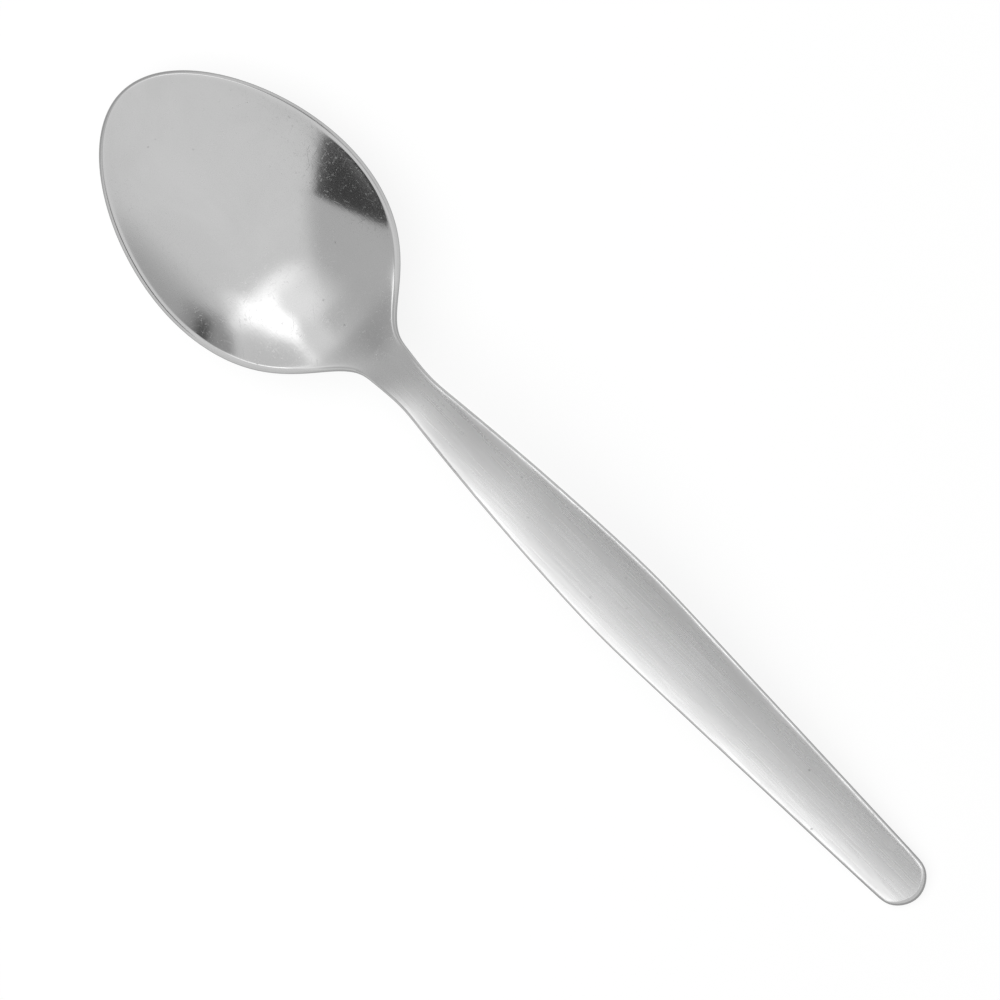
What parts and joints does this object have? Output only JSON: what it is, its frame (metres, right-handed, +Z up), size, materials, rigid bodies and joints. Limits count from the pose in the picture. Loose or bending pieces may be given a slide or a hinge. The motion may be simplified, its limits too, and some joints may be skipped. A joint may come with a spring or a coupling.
{
  "type": "teaspoon",
  "caption": "Pressed stainless steel teaspoon with an egg-shaped bowl, a slim rising neck and a crowned, tapering handle with a round end, for stirring and spooning.",
  "frame": {"origin": "on the table under the middle of the spoon's length, with the spoon lying bowl-up", "axes": "+X from the bowl's tip to the end of the handle, +Z up out of the bowl, +Y across the spoon"},
  "size_m": [0.135, 0.0296, 0.0159],
  "materials": {
    "bowl_steel": "polished, with fine use scratches",
    "handle_steel": "satin polish, with fine lines along the handle"
  },
  "bodies": {
    "root": {"bowl": "bowl_steel", "neck": "handle_steel", "handle": "handle_steel"}
  },
  "joints": []
}
